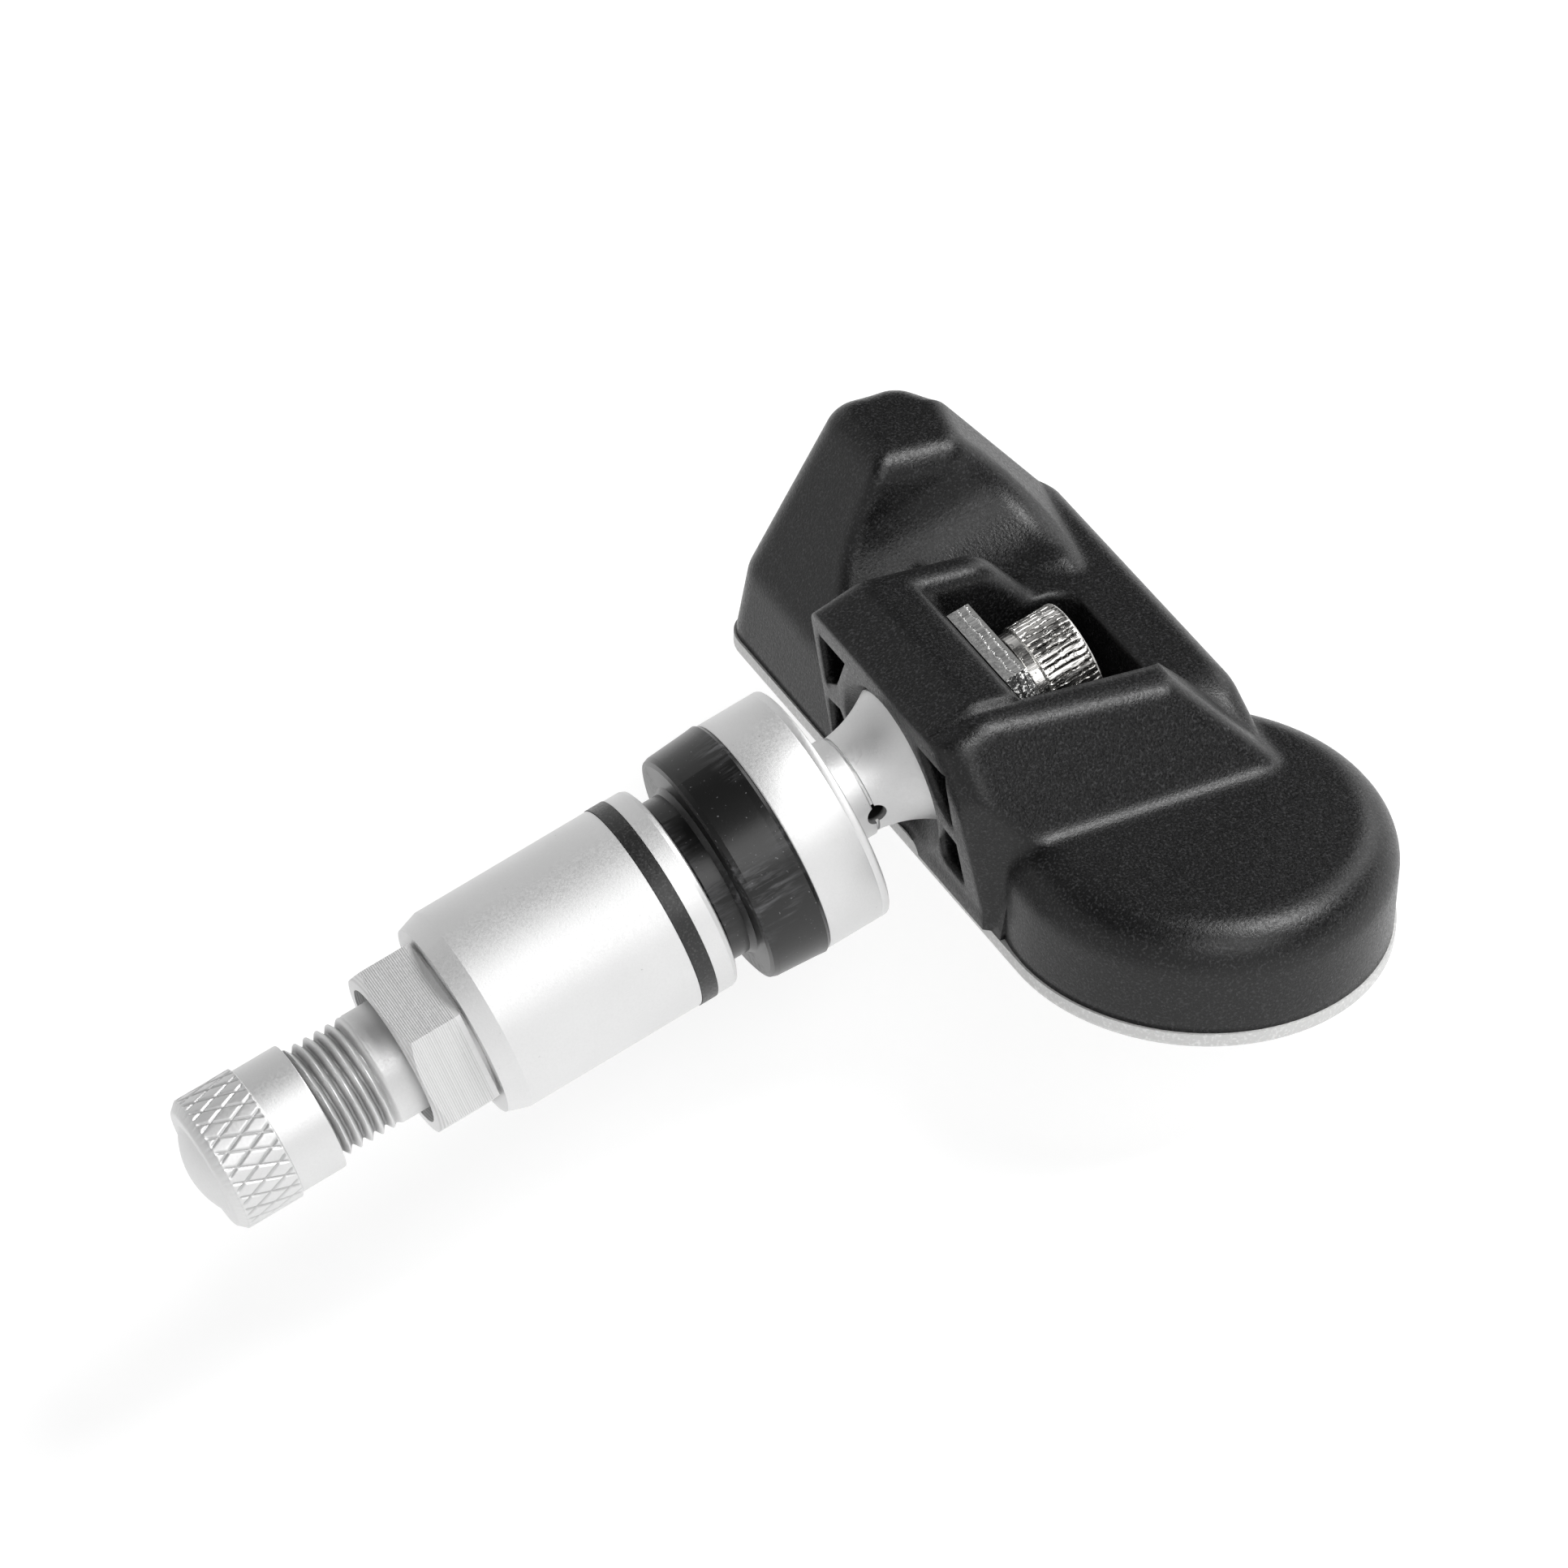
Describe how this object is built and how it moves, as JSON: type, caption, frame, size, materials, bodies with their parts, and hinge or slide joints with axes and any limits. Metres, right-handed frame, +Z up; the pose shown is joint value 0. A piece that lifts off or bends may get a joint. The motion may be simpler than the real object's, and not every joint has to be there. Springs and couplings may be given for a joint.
{
  "type": "tyre pressure sensor",
  "caption": "Tyre pressure sensor: a black moulded housing on a pale base cover, clamped at an adjustable angle to a clamp-in metal valve with rubber grommet, sleeve nut and knurled cap.",
  "frame": {"origin": "centre of the grommet face that seats against the inside of the rim", "axes": "+X along the valve to its cap, outboard; +Z up, away from the housing's base side; +Y to the low round lobe that holds the cell"},
  "size_m": [0.0767, 0.052, 0.0235],
  "materials": {
    "valve_metal": "fine turned satin",
    "nut_metal": "satin blasted, machined flats",
    "cap_metal": "diamond knurled",
    "ring_plastic": "smooth black",
    "grommet_rubber": "moulded black",
    "seal_rubber": "moulded black",
    "core_brass": "turned",
    "spring_steel": "drawn wire",
    "plate_steel": "stamped, bright plated",
    "screw_nickel": "bright plated, straight knurl",
    "housing_plastic": "fine spark texture",
    "cover_plastic": "pale grey",
    "board_laminate": "green solder mask",
    "cell_steel": "drawn can",
    "cell_seal": "moulded ring",
    "cell_fill": "pressed powder",
    "lead_steel": "strip",
    "chip_plastic": "moulded package",
    "ferrite": "sintered",
    "copper_wire": "enamelled wire",
    "chip_ceramic": "fired"
  },
  "bodies": {
    "valve": {"valve_stem": "valve_metal", "rim_grommet": "grommet_rubber", "valve_core_plug": "core_brass", "core_gasket": "seal_rubber", "core_spring": "spring_steel"},
    "core_plunger": {"core_pin": "core_brass", "core_cup": "seal_rubber"},
    "washers": {"pressure_washer": "nut_metal", "slip_ring": "ring_plastic"},
    "nut": {"hex_nut": "nut_metal"},
    "cap_liner": {"cap_seal": "seal_rubber"},
    "cap": {"valve_cap": "cap_metal"},
    "plate": {"clamp_plate": "plate_steel"},
    "screw": {"clamp_screw": "screw_nickel"},
    "sensor": {"housing_shell": "housing_plastic", "base_cover": "cover_plastic", "circuit_board": "board_laminate", "cell_can": "cell_steel", "cell_gasket": "cell_seal", "cell_lid": "cell_steel", "cell_pellet": "cell_fill", "cell_tab_lower": "lead_steel", "cell_tab_upper": "lead_steel", "pressure_chip": "chip_plastic", "port_seal": "seal_rubber", "coil_core": "ferrite", "coil_winding": "copper_wire", "aerial_strip": "lead_steel", "crystal": "lead_steel", "capacitor": "chip_ceramic", "radio_chip": "chip_plastic"}
  },
  "joints": [
    {"name": "sensor_tilt", "type": "hinge", "parent": "valve", "child": "sensor", "pos_m": [-0.0082, 0, 0], "axis": [0, 1, 0], "range_deg": [-1.5, 8]},
    {"name": "washer_slide", "type": "slide", "parent": "valve", "child": "washers", "axis": [1, 0, 0], "range_m": [0, 0.0048]},
    {"name": "nut_turn", "type": "hinge", "parent": "washers", "child": "nut", "pos_m": [0.014, 0, 0], "axis": [1, 0, 0], "range_deg": [0, 1729]},
    {"name": "cap_slide", "type": "slide", "parent": "valve", "child": "cap_liner", "axis": [1, 0, 0], "range_m": [0, 0.00635]},
    {"name": "cap_turn", "type": "hinge", "parent": "cap_liner", "child": "cap", "pos_m": [0.034, 0, 0], "axis": [1, 0, 0], "range_deg": [0, 2881]},
    {"name": "plate_slide", "type": "slide", "parent": "valve", "child": "plate", "axis": [-1, 0, 0], "range_m": [0, 0.0007]},
    {"name": "screw_turn", "type": "hinge", "parent": "plate", "child": "screw", "pos_m": [-0.025, 0, 0], "axis": [-1, 0, 0], "range_deg": [0, 361]},
    {"name": "core_press", "type": "slide", "parent": "valve", "child": "core_plunger", "axis": [-1, 0, 0], "range_m": [0, 0.0012], "stiffness_N_per_m": 400, "springref_m": -0.002, "deforming": ["core_spring"]}
  ],
  "couplings": [
    {"joint": "nut_turn", "follows": "washer_slide", "rad_per_m": 6283.2},
    {"joint": "cap_turn", "follows": "cap_slide", "rad_per_m": 7913.3},
    {"joint": "screw_turn", "follows": "plate_slide", "rad_per_m": 8976}
  ]
}
